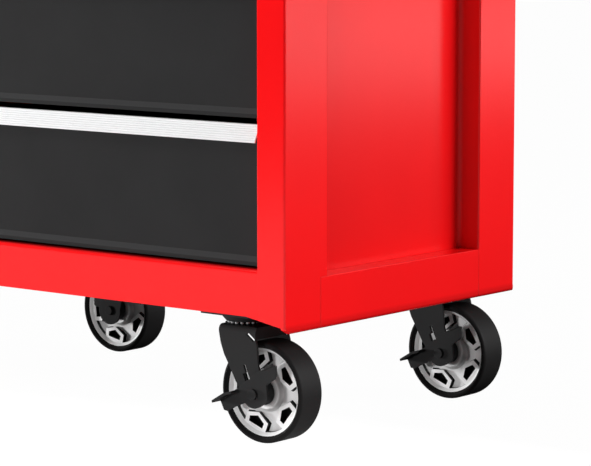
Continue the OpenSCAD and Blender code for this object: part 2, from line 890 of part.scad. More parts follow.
module handle_caps() {
    color("#222222")
        for (end = [0, 1])
            mirror([0, end, 0]) {
                along_y(handle_len / 2, handle_len / 2 + end_cap_t)
                    translate([handle_x, handle_z])
                        circle(r = handle_r);
                along_y(handle_len / 2 - end_cap_l, handle_len / 2)
                    translate([handle_x, handle_z])
                        circle(r = handle_r - handle_wall - handle_fit);
            }
}

module handle_brackets() {
    ring_r = handle_r + bracket_wall;
    color("dimgray")
        for (y = [-bracket_y, bracket_y])
            along_y(y - bracket_w / 2, y + bracket_w / 2)
                difference() {
                    union() {
                        translate([handle_x, handle_z])
                            circle(r = ring_r);
                        rect(side_x, handle_z - foot_h / 2, side_x + foot_t, handle_z + foot_h / 2);
                        rect(side_x, handle_z - ring_r / 2, handle_x, handle_z + ring_r / 2);
                    }
                    translate([handle_x, handle_z])
                        circle(r = handle_r + handle_fit);
                }
}

module lock_housing() {
    color("silver")
        difference() {
            union() {
                along_y(front_y - lock_proud, front_y)
                    translate([0, lock_z])
                        circle(r = lock_flange_r);
                along_y(front_y, front_y + lock_body_l)
                    translate([0, lock_z])
                        circle(r = lock_body_r);
            }
            along_y(front_y - lock_proud - over, front_y + lock_body_l + over)
                translate([0, lock_z])
                    circle(r = lock_core_r + running);
        }
}

module lock_cylinder() {
    core_y1 = front_y + lock_body_l + side_gap;
    color("silver")
        difference() {
            union() {
                along_y(front_y - lock_proud, core_y1)
                    translate([0, lock_z])
                        circle(r = lock_core_r);
                along_y(core_y1, core_y1 + cam_t)
                    translate([0, lock_z]) {
                        circle(r = cam_w / 2);
                        rect(-cam_w / 2, 0, cam_w / 2, cam_l);
                    }
            }
            block([-key_w / 2, front_y - lock_proud - over, lock_z - key_l / 2],
                [key_w / 2, front_y - lock_proud + key_d, lock_z + key_l / 2]);
        }
}

// Pieces repeated at the two casters of one side
module at_casters(side) {
    for (row = [-1, 1])
        translate([side * caster_x, row * caster_y, 0])
            children();
}

// Pieces repeated at the bolts of one caster plate
module at_plate_bolts() {
    for (x = [-1, 1], y = [-1, 1])
        translate([x * bolt_span_x / 2, y * bolt_span_y / 2, 0])
            children();
}

module at_bolts() {
    for (side = [1, -1])
        at_casters(side)
            at_plate_bolts()
                children();
}

module caster_plate() {
    difference() {
        block([-plate_x / 2, -plate_y / 2, plate_z], [plate_x / 2, plate_y / 2, floor_z]);
        at_plate_bolts() {
            translate([0, 0, plate_z - over])
                cylinder(r = bolt_r + bolt_play, h = plate_t + 2 * over);
            translate([0, 0, plate_z])
                cylinder(r1 = bolt_head_r + bolt_play, r2 = bolt_r + bolt_play, h = bolt_head_h);
        }
    }
}

module swivel_plates() {
    color("#222222")
        at_casters(1)
            difference() {
                union() {
                    caster_plate();
                    rotate_extrude()
                        polygon([[0, race_z], [dish_low_r - skirt_w, race_z], [dish_low_r - skirt_w, skirt_z],
                            [dish_low_r, skirt_z], [dish_mid_r, skirt_z + dish_mid_h],
                            [dish_top_r, plate_z], [0, plate_z]]);
                }
                translate([0, 0, crown_z])
                    cylinder(r = kingpin_r + running, h = head_h + plate_t + over);
                translate([0, 0, floor_z - kingpin_top_h])
                    cylinder(r = kingpin_head_r + running, h = kingpin_top_h + over);
            }
}

module kingpins() {
    low_z = crown_z - crown_t - side_gap;
    color("gray")
        at_casters(1) {
            translate([0, 0, low_z - kingpin_low_h])
                cylinder(r = kingpin_head_r, h = kingpin_low_h);
            translate([0, 0, low_z - over])
                cylinder(r = kingpin_r, h = floor_z - kingpin_top_h / 2 - low_z + over);
            translate([0, 0, floor_z - kingpin_top_h])
                cylinder(r = kingpin_head_r, h = kingpin_top_h);
        }
}

module swivel_balls() {
    color("silver")
        at_casters(1)
            for (k = [0:ball_count - 1])
                rotate(k * 360 / ball_count)
                    translate([ball_ring_r, 0, ball_z])
                        sphere(r = ball_r);
}

// The arch of a fork, seen along X: two legs under a top with round bends
module fork_arch(top_z, top_t, end_r) {
    inner_r = fork_bend_r - leg_t;
    low_z = axle_z - end_r - over;
    difference() {
        round_rect(-leg_out, low_z - fork_bend_r, leg_out, top_z, fork_bend_r);
        round_rect(-leg_in, low_z - 2 * fork_bend_r, leg_in, top_z - top_t, inner_r);
        rect(-leg_out - over, low_z - 2 * fork_bend_r, leg_out + over, low_z);
    }
}

// The side outline of a swivel fork, from the kingpin's axis, with the slits beside its apron
module swivel_leg_outline() {
    apron_low_z = crown_z - apron_h;
    difference() {
        union() {
            polygon(concat([[-leg_back_x, crown_z]], [for (p = leg_back_shape) leg_point(p)],
                [[trail, axle_z]], [for (p = leg_fore_shape) leg_point(p)],
                [[apron_x, apron_low_z], [apron_x, crown_z]]));
            translate([trail, axle_z])
                circle(r = leg_end_r);
        }
        translate([apron_x, apron_low_z])
            rotate(180 - slit_slope)
                rect(slit_bridge, 0, slit_l, slit_w);
        translate(leg_point(slot_place))
            rotate(slot_lean) {
                rect(-slot_w / 2, 0, slot_w / 2, slot_h);
                rect(slot_w / 2 - slot_end_w, 0, slot_w / 2, slot_full_h);
            }
    }
}

module swivel_fork(row) {
    color("#2b2b2b")
        translate([caster_x, row * caster_y, 0])
            difference() {
                union() {
                    intersection() {
                        along_x(-leg_back_x - over, trail + leg_end_r + over)
                            fork_arch(crown_z, crown_t, leg_end_r);
                        along_y(-leg_out - over, leg_out + over)
                            swivel_leg_outline();
                    }
                    block([apron_x - leg_t, -leg_in - over, crown_z - apron_h],
                        [apron_x, leg_in + over, crown_z - crown_t + over]);
                    translate([0, 0, crown_z - crown_t])
                        cylinder(r = crown_r, h = crown_t);
                }
                translate([0, 0, crown_z - race_sink])
                    rotate_extrude()
                        rect(ball_ring_r - race_half, 0, ball_ring_r + race_half, race_sink + over);
                translate([0, 0, crown_z - crown_t - over])
                    cylinder(r = kingpin_r + running, h = crown_t + 2 * over);
                along_y(-leg_out - over, leg_out + over)
                    translate([trail, axle_z])
                        circle(r = axle_r + axle_play);
            }
}

// The side outline of a rigid fork's leg
module rigid_leg_outline() {
    neck_x = bolt_span_x / 2 - bolt_head_r - bolt_room;
    neck_z = plate_z - bolt_room;
    brow_z = neck_z - rigid_mid_x + neck_x;
    heel_z = axle_z + rigid_heel_h;
    polygon([[0, axle_z], [rigid_end_r, heel_z], [rigid_mid_x, axle_z + rigid_mid_h],
        [rigid_mid_x, brow_z], [neck_x, neck_z], [neck_x, floor_z], [-neck_x, floor_z],
        [-neck_x, neck_z], [-rigid_mid_x, brow_z], [-rigid_mid_x, heel_z + rigid_ear_cut],
        [rigid_ear_cut - rigid_mid_x, heel_z], [-rigid_end_r, heel_z]]);
    translate([0, axle_z])
        circle(r = rigid_end_r);
}

module rigid_forks() {
    color("#222222")
        at_casters(-1)
            difference() {
                union() {
                    caster_plate();
                    intersection() {
                        along_x(-plate_x / 2, plate_x / 2)
                            fork_arch(plate_z + plate_t / 2, plate_t / 2 + sheet, rigid_end_r);
                        along_y(-leg_out - over, leg_out + over)
                            rigid_leg_outline();
                    }
                }
                along_y(-leg_out - over, leg_out + over)
                    translate([0, axle_z])
                        circle(r = axle_r + axle_play);
            }
}

// An axle bolt with its head, nut and spacers, with its head's seat at seat_y
module axle(seat_y) {
    spacer_in = boss_half + side_gap;
    translate([0, 0, axle_z]) {
        along_y(seat_y - over, leg_out + over)
            circle(r = axle_r);
        along_y(seat_y - axle_head_h, seat_y)
            circle(r = axle_head_r);
        along_y(leg_out, leg_out + axle_head_h)
            circle(r = axle_head_r, $fn = 6);
        for (y = [-leg_in, spacer_in])
            along_y(y, y + leg_in - spacer_in)
                circle(r = spacer_r);
    }
}

module swivel_axle(row) {
    color("#303030")
        translate([caster_x + trail, row * caster_y, 0])
            axle(-pedal_out - side_gap);
}

module rigid_axles() {
    color("#303030")
        at_casters(-1)
            axle(-leg_out);
}

module caster_bolts() {
    nut_z = floor_z + pan_t;
    color("gray")
        at_bolts() {
            translate([0, 0, plate_z])
                cylinder(r1 = bolt_head_r, r2 = bolt_r, h = bolt_head_h);
            translate([0, 0, plate_z])
                cylinder(r = bolt_r, h = nut_z - plate_z + over);
            translate([0, 0, nut_z])
                cylinder(r = nut_r, h = nut_h, $fn = 6);
        }
}

// A brake pedal about its axle: arm with a bent tab on the left, wing with a sloped lip on the right
module brake_pedal(row) {
    color("#2b2b2b")
        translate([caster_x + trail, row * caster_y, axle_z])
            difference() {
                union() {
                    along_y(-pedal_out, -pedal_in) {
                        polygon(pedal_shape * pedal_r);
                        circle(r = pedal_r);
                    }
                    along_y(-pedal_out - tab_out, -pedal_in)
                        polygon(tab_shape * pedal_r);
                    pedal_lip();
                }
                along_y(-pedal_out - over, -pedal_in + over)
                    circle(r = axle_r + running);
            }
}

// The lip along a pedal's wing, sloped inwards over its upper edge
module pedal_lip() {
    rise = atan2(lip_top[1] - lip_foot[1], lip_top[0] - lip_foot[0]);
    translate([lip_top[0] * pedal_r, -pedal_out, lip_top[1] * pedal_r])
        rotate([0, -rise, 0])
            rotate([-lip_slope, 0, 0])
                translate([-lip_l, 0, -pedal_t / 2])
                    cube([lip_l, pedal_t / 2, lip_run]);
}

// A hub about its own axis, drawn along Z and laid along Y
module hub(i) {
    side = corner_side(i);
    wheel_x = side > 0 ? caster_x + trail : -caster_x;
    turn = side > 0 ? swivel_wheel_turn : rigid_wheel_turn;
    rim_in_r = hub_r - rim_face_w;
    rim_low_r = rim_in_r - rim_draft;
    rim_low = frame_top - rim_draft;
    color("gainsboro")
        translate([wheel_x, corner_row(i) * caster_y, axle_z])
            rotate([90, 0, 0])
                rotate(turn)
                    difference() {
                        union() {
                            rotate_extrude()
                                polygon([[0, -boss_half], [boss_r, -boss_half], [cone_r, -web_half],
                                    [rim_low_r, -web_half], [rim_in_r, -rim_low], [hub_r, -rim_half],
                                    [hub_r, rim_half], [rim_in_r, rim_low], [rim_low_r, web_half],
                                    [cone_r, web_half], [boss_r, boss_half], [0, boss_half]]);
                            hub_frames();
                        }
                        hub_cuts();
                    }
}

// The raised frames round the windows
module hub_frames() {
    intersection() {
        for (k = [0:window_count - 1])
            rotate(k * 360 / window_count)
                translate([0, 0, -frame_top])
                    linear_extrude(2 * frame_top)
                        polygon(window_outline(frame_w));
        cylinder(r = hub_r - rim_face_w / 2, h = 4 * frame_top, center = true);
    }
}

// The blind windows, the grooves along their frames, and the bore
module hub_cuts() {
    for (k = [0:window_count - 1])
        rotate(k * 360 / window_count) {
            for (face = [0, 1])
                mirror([0, 0, face]) {
                    translate([0, 0, pane_half])
                        linear_extrude(boss_half)
                            polygon(window_outline(0));
                    translate([0, 0, web_half - groove_d])
                        linear_extrude(groove_d + over)
                            groove_outline();
                }
        }
    cylinder(r = axle_r + running, h = 4 * boss_half, center = true);
}

// A groove that follows a frame's two sides
module groove_outline() {
    difference() {
        polygon(window_outline(frame_w + groove_w));
        polygon(window_outline(frame_w));
        circle(r = window_tip_r);
        difference() {
            circle(r = 2 * hub_r);
            circle(r = hub_r - rim_face_w - 2 * rim_draft);
        }
    }
}

module tyre(i) {
    wheel_x = corner_side(i) > 0 ? caster_x + trail : -caster_x;
    seat_r = hub_r + hub_fit;
    round_r = min(shoulder_r, shoulder_limit * (tyre_r - seat_r));
    ring_r = tyre_r - round_r;
    half = tyre_w / 2;
    color("#1c1c1c")
        translate([wheel_x, corner_row(i) * caster_y, axle_z])
            rotate([90, 0, 0])
                rotate_extrude() {
                    polygon([[seat_r, -rim_half], [ring_r, -half], [ring_r, half], [seat_r, rim_half]]);
                    rect(seat_r, -half + round_r, tyre_r, half - round_r);
                    for (y = [-half + round_r, half - round_r])
                        intersection() {
                            translate([ring_r, y])
                                circle(r = round_r);
                            rect(ring_r, -half, tyre_r, half);
                        }
                }
}

placed() {
    front_post(1);  // right_front_post
    front_post(-1);  // left_front_post
    rear_posts();
    side_panel(1);  // right_side_panel
    side_panel(-1);  // left_side_panel
    bottom_rail(1);  // right_bottom_rail
    bottom_rail(-1);  // left_bottom_rail
    side_top_rails();
    front_bottom_rail();
    front_top_rail();
    back_panel();
    floor_pan();
    top_cap();
    top_mat();
    slide_rails();
    push_handle();
    handle_caps();
    handle_brackets();
    lock_housing();
    lock_cylinder();
    swivel_plates();
    kingpins();
    swivel_balls();
    rigid_forks();
    rigid_axles();
    caster_bolts();
    for (i = drawer_rows) {
        drawer(i);
        drawer_pull(i);
        drawer_rails(i);
        slide_middle(i);
    }
    for (k = [0, 1]) {
        swivel_fork(corner_row(k));
        swivel_axle(corner_row(k));
        brake_pedal(corner_row(k));
    }
    for (i = [0:len(corners) - 1]) {
        hub(i);
        tyre(i);
    }
}
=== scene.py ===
import math

import bmesh
import bpy
from bpy.props import FloatProperty, FloatVectorProperty, PointerProperty
from mathutils import Matrix, Vector


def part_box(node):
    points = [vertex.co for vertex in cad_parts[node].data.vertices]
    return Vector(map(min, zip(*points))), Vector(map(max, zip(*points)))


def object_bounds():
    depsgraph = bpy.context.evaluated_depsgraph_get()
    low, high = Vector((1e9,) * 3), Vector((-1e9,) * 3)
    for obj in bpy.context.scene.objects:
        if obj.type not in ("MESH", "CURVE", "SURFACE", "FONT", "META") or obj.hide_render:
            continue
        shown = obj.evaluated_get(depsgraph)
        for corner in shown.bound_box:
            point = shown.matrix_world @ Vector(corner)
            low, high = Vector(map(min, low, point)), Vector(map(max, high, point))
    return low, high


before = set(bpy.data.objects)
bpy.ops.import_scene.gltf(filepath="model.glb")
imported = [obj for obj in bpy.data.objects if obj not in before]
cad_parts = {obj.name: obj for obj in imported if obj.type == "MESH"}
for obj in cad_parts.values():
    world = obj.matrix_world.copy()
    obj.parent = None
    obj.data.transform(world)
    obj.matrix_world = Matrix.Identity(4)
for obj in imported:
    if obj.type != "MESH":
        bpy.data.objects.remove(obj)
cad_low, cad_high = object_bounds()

bl_info = {
    "name": "Rolling tool cabinet dresser",
    "version": (1, 0, 0),
    "blender": (4, 5, 0),
    "location": "View3D > Sidebar > Cabinet",
    "description": "Finishes the sheet steel, drawers, casters and fittings of a tool cabinet",
    "category": "Object",
}

MM = 0.001
WHITE = (1.0, 1.0, 1.0, 1.0)
# The colour that painted shade on the side panels darkens towards
SHADE_BLACK = (0.0, 0.0, 0.0)

# Width of the camera's sensor, in mm
SENSOR_WIDTH = 36.0
# Rays that find rounded edges and dark corners
TRACE_SAMPLES = 6

# Groups of the cabinet's pieces
ROWS = ("front", "rear")
CORNERS = ("front_right", "rear_right", "front_left", "rear_left")
DRAWERS = (1, 2, 3, 4, 5)
SHEET_NODES = ("right_front_post", "left_front_post", "rear_posts", "right_bottom_rail",
               "left_bottom_rail", "side_top_rails", "front_bottom_rail", "front_top_rail",
               "back_panel", "top_cap")
SIDE_NODES = ("right_side_panel", "left_side_panel")
FORK_NODES = ("swivel_plates", "rigid_forks", *(f"swivel_fork_{row}" for row in ROWS))
PEDAL_NODES = tuple(f"brake_pedal_{row}" for row in ROWS)
AXLE_NODES = ("rigid_axles", *(f"swivel_axle_{row}" for row in ROWS))

# The corner that the view is measured from: the lower end of the right front post
CORNER = Vector((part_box("right_front_post")[1].x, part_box("right_front_post")[0].y,
                 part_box("right_bottom_rail")[0].z))
CASE_MIDDLE = (cad_low + cad_high) / 2

# Height above the case's lower edge over which the painted shade of the sides' hem runs
HEM_SPAN = 20 * MM
# Least share of its direction that a face of the case's sides has along X
SIDE_FACING = 0.5
# Upward shares of the direction between which a drawer's slanted band lies and gets a painted highlight
BAND_RISE = (0.3, 0.55)
# Radius over which the painted highlight and shade of a collar round a hub's boss run
BOSS_SPAN = 50 * MM
# Share of its direction along Y under which a hub's face is a wall
WALL_FACING = 0.6
# Radii between which a hub's walls get black painted shade
WALL_RING = (27 * MM, 50.2 * MM)
# Distance from a wheel's middle plane within which the floors of a hub's windows lie, which get black
# painted shade
WINDOW_DEPTH = 7 * MM
# Turns, in radians, of the moulding rings over a tyre's diameter
TYRE_RINGS = 260.0


def paint(name, about, default):
    """A colour that a user may change."""
    return FloatVectorProperty(name=name, description=about, subtype="COLOR", size=3, min=0, max=1,
                               default=default)


def share(name, about, default):
    """A value from 0 to 1 that a user may change."""
    return FloatProperty(name=name, description=about, subtype="FACTOR", min=0, max=1,
                         default=default)


def level(name, about, default):
    """A strength from 0 up that a user may change."""
    return FloatProperty(name=name, description=about, unit="NONE", min=0, default=default)


def length(name, about, default):
    """A length in metres that a user may change."""
    return FloatProperty(name=name, description=about, subtype="DISTANCE", unit="LENGTH",
                         default=default)


def angle(name, about, degrees):
    """An angle that a user may change."""
    return FloatProperty(name=name, description=about, subtype="ANGLE", default=math.radians(degrees))


def power(name, about, default):
    """A lamp's power in watts that a user may change."""
    return FloatProperty(name=name, description=about, unit="POWER", min=0, default=default)


def place(name, about, default):
    """A place in metres that a user may change."""
    return FloatVectorProperty(name=name, description=about, subtype="TRANSLATION", unit="LENGTH",
                               size=3, default=default)


class CabinetFinishes(bpy.types.PropertyGroup):
    """Colours and gloss of the cabinet's finishes"""

    case_red: paint("Case red", "Powder coat of the case", (0.95, 0.005, 0.007))
    worn_red: paint("Worn red", "Powder coat where it thins along the folds", (1.0, 0.06, 0.05))
    # Painted shade: the dark red that the hem under the sides is darkened towards
    hem_shade_red: paint("Hem red", "Powder coat of the hem under the sides", (0.1, 0.0, 0.0))
    drawer_black: paint("Drawer black", "Powder coat of the drawers", (0.0258, 0.0258, 0.0262))
    pull_silver: paint("Pull silver", "Anodised aluminium of the pulls", (0.965, 0.97, 0.975))
    caster_black: paint("Caster black", "Coating of forks, plates and brakes", (0.027, 0.027, 0.0274))
    # Painted shade: black on the hubs' window floors and on their frames' walls
    window_shade_black: paint("Window black", "Black paint in the hubs' windows", (0.006, 0.006, 0.006))
    hub_silver: paint("Hub silver", "Silver of the wheel hubs", (1.0, 1.0, 1.0))
    tyre_black: paint("Tyre black", "Rubber of the tyres", (0.012, 0.0115, 0.0117))
    zinc_grey: paint("Zinc grey", "Plating of slides, bolts and kingpins", (0.62, 0.63, 0.65))
    zinc_cast: paint("Zinc cast", "Yellow cast in the plating's clouds", (0.72, 0.7, 0.64))
    chrome_grey: paint("Chrome", "Plating of the handle and the lock", (0.78, 0.79, 0.8))
    ball_grey: paint("Ball grey", "Ground steel of the bearing balls", (0.6, 0.6, 0.61))
    mat_black: paint("Mat black", "Rubber of the top mat", (0.012, 0.012, 0.0125))
    paint_gloss: share("Paint roughness", "Roughness of the case's powder coat", 0.19)
    bend_gloss: share("Bend roughness", "Roughness of the side panels' rear bend", 0.6)
    edge_wear: share("Edge wear", "How much the coatings thin along edges", 0.35)
    # Strength of the painted shade on the side panels
    panel_shade: share("Panel shade", "How much darker the side panels are in front", 0.24)


class CabinetStage(bpy.types.PropertyGroup):
    """Camera, lamps and floor"""

    lens: FloatProperty(name="Lens", description="Focal length on a 36 mm wide sensor",
                        unit="CAMERA", default=166.36)
    yaw: angle("Yaw", "Turn of the camera about the upright axis", 38.82)
    pitch: angle("Pitch", "Downward tilt of the camera", 7.07)
    eye: place("Eye", "Camera's place from the case's lower right corner", (2.0169, -2.4864, 0.5201))
    floor_size: length("Floor size", "Width of the pale floor", 60.0)
    floor_white: share("Floor whiteness", "How much of the floor the camera sees as white", 0.86)
    floor_glow: level("Floor glow", "Strength of the white that the camera sees on the floor", 1.14)
    floor_pale: share("Pale floor", "Tone of the floor that the front mirrors", 1.0)
    floor_dark: share("Dark floor", "Tone of the floor that the right side mirrors", 0.03)
    floor_lit: share("Lit floor", "Tone of the floor that lights the front and the wheels", 0.9)
    floor_shade: share("Shaded floor", "Tone of the floor beside and behind the case", 0.08)
    pale_depth: length("Pale depth", "How far the pale floor runs out in front", 1.55)
    white_reach: length("White reach", "How far the floor round the casters is white", 1.15)
    sky_light: level("Sky light", "Strength of the even light all round", 0.09)
    aim_height: share("Aim height", "Share of the case's middle height that the lamps aim at", 0.8)
    key_light: power("Key light", "Power of the lamp at the front left", 32.0)
    key_place: place("Key place", "Centre of the lamp at the front left", (-1.0, -1.9, 3.0))
    side_light: power("Side light", "Power of the lamp high at the right", 133.0)
    side_place: place("Side place", "Centre of the lamp high at the right", (3.0, 1.7, 1.6))
    glow_light: power("Glow light", "Power of the low lamp behind the right side", 2.85)
    glow_place: place("Glow place", "Centre of the low lamp behind the right side", (2.9, 3.1, 0.3))
    glow_height: length("Glow height", "Height of the low lamp behind the right side", 0.35)
    lamp_size: length("Lamp size", "Width of the key, side and glow lamps", 2.0)
    fill_light: power("Fill light", "Power of the low lamp in front", 39.0)
    fill_place: place("Fill place", "Centre of the low lamp in front", (-0.6, -3.1, 0.14))
    rake_light: power("Rake light", "Power of the low lamp at the left", 126.0)
    rake_place: place("Rake place", "Centre of the low lamp at the left", (-3.06, -1.19, 0.13))
    low_size: length("Low lamp size", "Width of the fill and rake lamps", 0.5)
    low_height: length("Low lamp height", "Height of the fill and rake lamps", 0.2)


class Signal:
    """One shader socket. An expression on it adds Math nodes."""

    def __init__(self, finish, socket):
        self.finish = finish
        self.socket = socket

    def __add__(self, other):
        return self.finish.math("ADD", self, other)

    __radd__ = __add__

    def __sub__(self, other):
        return self.finish.math("SUBTRACT", self, other)

    def __rsub__(self, other):
        return self.finish.math("SUBTRACT", other, self)

    def __mul__(self, other):
        return self.finish.math("MULTIPLY", self, other)

    __rmul__ = __mul__

    def __gt__(self, other):
        return self.finish.math("GREATER_THAN", self, other)

    def __lt__(self, other):
        return self.finish.math("LESS_THAN", self, other)

    def __abs__(self):
        return self.finish.math("ABSOLUTE", self)


class Finish:
    """A material's or a sky's node tree, built from places, noise, edges and colours."""

    def __init__(self, name, tree=None):
        self.material = None
        if tree is None:
            self.material = bpy.data.materials.new(name)
            self.material.use_nodes = True
            tree = self.material.node_tree
        self.tree = tree
        tree.nodes.clear()

    def add(self, kind, settings=None, values=None, output=0):
        """A node of a kind, its settings set first, with its sockets' values or links."""
        node = self.tree.nodes.new(kind)
        for key, value in (settings or {}).items():
            if key == "stops":
                self.set_stops(node.color_ramp, value)
            else:
                setattr(node, key, value)
        for key, value in (values or {}).items():
            socket = node.inputs[key]
            if isinstance(value, Signal):
                self.tree.links.new(value.socket, socket)
            else:
                socket.default_value = value
        return Signal(self, node.outputs[output]) if node.outputs else node

    @staticmethod
    def set_stops(ramp, stops):
        """Gives a colour ramp its stops, as pairs of place and grey level."""
        while len(ramp.elements) < len(stops):
            ramp.elements.new(1.0)
        for element, (position, tone) in zip(ramp.elements, stops):
            element.position = position
            element.color = opaque(grey(tone))

    def math(self, operation, first, second=0.0):
        """A value worked out from one or two values."""
        return self.add("ShaderNodeMath", {"operation": operation}, {0: first, 1: second})

    def vector(self, operation, first, second=(0.0, 0.0, 0.0), output="Vector"):
        """A vector, or with the output Value a number, worked out from one or two vectors."""
        return self.add("ShaderNodeVectorMath", {"operation": operation}, {0: first, 1: second},
                        output)

    def part(self, vector, axis):
        """A vector's part along X, Y or Z."""
        return self.add("ShaderNodeSeparateXYZ", {}, {0: vector}, axis)

    def place(self, kind="Object"):
        """Places in metres, or as the kind says, shares of the piece's box or its faces' directions."""
        return self.add("ShaderNodeTexCoord", output=kind)

    def facing(self, axis):
        """How far a face points along an axis, from -1 to 1."""
        return self.part(self.place("Normal"), axis)

    def from_middle(self):
        """Places in shares of the piece's box, from its middle."""
        return self.vector("SUBTRACT", self.place("Generated"), (0.5, 0.5, 0.5))

    def flat_radius(self, middle):
        """Distance of a place from the wheel's axis, which lies along Y."""
        flat = self.vector("MULTIPLY", middle, (1.0, 0.0, 1.0))
        return self.vector("LENGTH", flat, output="Value")

    @staticmethod
    def between(signal, low, high):
        """1 where a signal lies between two levels, else 0."""
        return (signal > low) * (signal < high)

    def noise(self, cells, detail=3.0, roughness=0.5, stretch=(1.0, 1.0, 1.0)):
        """Fine random grain, from 0 to 1, with that many cells in a metre."""
        spots = self.vector("MULTIPLY", self.place(), stretch)
        return self.add("ShaderNodeTexNoise", {}, {"Vector": spots, "Scale": cells, "Detail": detail,
                                                   "Roughness": roughness})

    @staticmethod
    def vary(middle, grain, swing):
        """A value that swings about its middle with a grain from 0 to 1."""
        return middle + (grain - 0.5) * swing

    def ramp(self, signal, *stops):
        """A signal led through a ramp of greys."""
        return self.add("ShaderNodeValToRGB", {"stops": stops}, {0: signal})

    def mix(self, share_of, first, second):
        """A colour between two, by a share. The Mix node keeps its colours in sockets 6, 7 and 2."""
        colours = {0: share_of, 6: opaque(first), 7: opaque(second)}
        return self.add("ShaderNodeMix", {"data_type": "RGBA"}, colours, output=2)

    def tones(self, grain, colour, low, high=1.0):
        """A colour that runs from a low to a high tone of itself with a grain."""
        return self.mix(grain, scaled(colour, low), scaled(colour, high))

    def round_edges(self, radius):
        """The surface's direction with its edges rounded off to a radius."""
        return self.add("ShaderNodeBevel", {"samples": TRACE_SAMPLES}, {"Radius": radius})

    def edges(self, rounded):
        """A mask that is 0 on flats and rises along edges."""
        plain = self.add("ShaderNodeNewGeometry", output="Normal")
        along = self.vector("DOT_PRODUCT", rounded, plain, "Value")
        return self.ramp(1 - along, (0.0, 0.0), (0.35, 1.0))

    def openness(self, distance):
        """1 in the open, and less where other faces stand within a distance."""
        return self.add("ShaderNodeAmbientOcclusion", {"samples": TRACE_SAMPLES},
                        {"Distance": distance}, "AO")

    def bump(self, height, distance, strength, normal=None):
        """A small relief, on top of a surface direction where one is given."""
        values = {"Height": height, "Distance": distance, "Strength": strength}
        if normal is not None:
            values["Normal"] = normal
        return self.add("ShaderNodeBump", {}, values)

    def ray(self, kind):
        """1 on Camera or Glossy rays, as the kind says, else 0."""
        return self.add("ShaderNodeLightPath", output=f"Is {kind} Ray")

    def shader(self, **sockets):
        """The Principled shader with its sockets."""
        values = {key.replace("_", " "): value for key, value in sockets.items()}
        return self.add("ShaderNodeBsdfPrincipled", {}, values)

    def blend(self, share_of, first, second):
        """A shader between two, by a share."""
        return self.add("ShaderNodeMixShader", {}, {0: share_of, 1: first, 2: second})

    def join(self, shader, output="ShaderNodeOutputMaterial"):
        """Joins a shader to the tree's output and gives the material, if the tree has one."""
        self.add(output, {}, {"Surface": shader})
        return self.material

    def surface(self, **sockets):
        """The material of a Principled shader with its sockets."""
        return self.join(self.shader(**sockets))


def opaque(colour):
    """A colour with full cover, or the signal that makes one."""
    return colour if isinstance(colour, Signal) else (*tuple(colour)[:3], 1.0)


def scaled(colour, factor):
    """A colour made darker or lighter, up to white."""
    return tuple(min(1.0, part * factor) for part in colour)


def grey(tone):
    """A colour without hue."""
    return (tone, tone, tone)


# Finishes


def hem_painted_shade(finish, looks, body):
    """Colour and roughness of the folded sheet: painted shade in the hem at the sides' lower edge."""
    height = finish.part(finish.place(), "Z") - CORNER.z
    # The hem's dark band is painted shade, darkest at the lower edge
    hem = finish.ramp(height * (1 / HEM_SPAN), (0.0, 0.45), (0.2, 0.36), (0.25, 0.26), (0.37, 0.22),
                      (0.42, 0.14), (0.58, 0.0))
    on_sides = abs(finish.facing("X")) > SIDE_FACING
    return finish.mix(hem * on_sides, body, looks.hem_shade_red), looks.paint_gloss


def panel_painted_shade(finish, looks, body):
    """Colour and roughness of the side panels: painted shade at the front, the foot and the rear bend,
    matt in the rear bend.
    """
    shares = finish.place("Generated")
    behind = finish.part(shares, "Y")
    # Painted shade: darker towards the front edge, the rear bend and the foot
    front = finish.ramp(behind, (0.0, 1.0), (0.06, 0.8), (0.14, 0.55), (0.26, 0.28), (0.44, 0.06),
                        (0.78, 0.05), (0.9, 0.5), (1.0, 0.16))
    foot = finish.ramp(finish.part(shares, "Z"), (0.0, 0.4), (0.2, 0.15), (0.45, 0.0))
    gloss = finish.ramp(behind, (0.965, looks.paint_gloss), (0.985, looks.bend_gloss))
    return finish.mix((front + foot) * looks.panel_shade, body, SHADE_BLACK), gloss


def red_powder_coat(name, looks, painted_shade):
    """Satin powder coat: orange peel, slow drift of tone, paint thinned along the folds.

    The given function paints a piece's shade into its colour and sets its roughness.
    """
    finish = Finish(name)
    rounded = finish.round_edges(radius=1.4 * MM)
    drift = finish.noise(cells=5.0, detail=2.0)
    peel = finish.noise(cells=420.0, detail=2.0, roughness=0.4)
    even = finish.tones(finish.ramp(drift, (0.3, 0.0), (0.7, 1.0)), looks.case_red, low=0.94)
    # Painted shade of the hem or of the side panels
    body, gloss = painted_shade(finish, looks, even)
    colour = finish.mix(finish.edges(rounded) * (looks.edge_wear / 2), body, looks.worn_red)
    rough = finish.vary(gloss, finish.noise(cells=60.0), swing=0.02)
    normal = finish.bump(peel, distance=0.06 * MM, strength=0.12, normal=rounded)
    return finish.surface(Base_Color=colour, Roughness=rough, Normal=normal)


def textured_black_paint(name, colour, looks, grain=900.0, rough=0.46, depth=0.05 * MM, shine=0.22,
                         band_highlight=None):
    """Black coating with a fine grain and slightly bare edges.

    The given factor is a painted highlight: the tone, against the rest, of the bands that lean upward.
    """
    finish = Finish(name)
    rounded = finish.round_edges(radius=0.9 * MM)
    fine = finish.noise(cells=grain, detail=2.0, roughness=0.6)
    body = finish.tones(finish.noise(cells=9.0), colour, low=0.86, high=1.14)
    if band_highlight is not None:
        # Painted highlight: faces that lean upward are made lighter
        band = finish.between(finish.facing("Z"), *BAND_RISE)
        body = finish.mix(band, body, scaled(colour, band_highlight))
    bare = scaled(colour, 3.2)
    worn = finish.mix(finish.edges(rounded) * looks.edge_wear, body, bare)
    roughness = finish.vary(rough, finish.noise(cells=150.0), swing=0.12)
    normal = finish.bump(fine, distance=depth, strength=0.5, normal=rounded)
    return finish.surface(Base_Color=worn, Roughness=roughness, Normal=normal,
                          Specular_IOR_Level=shine)


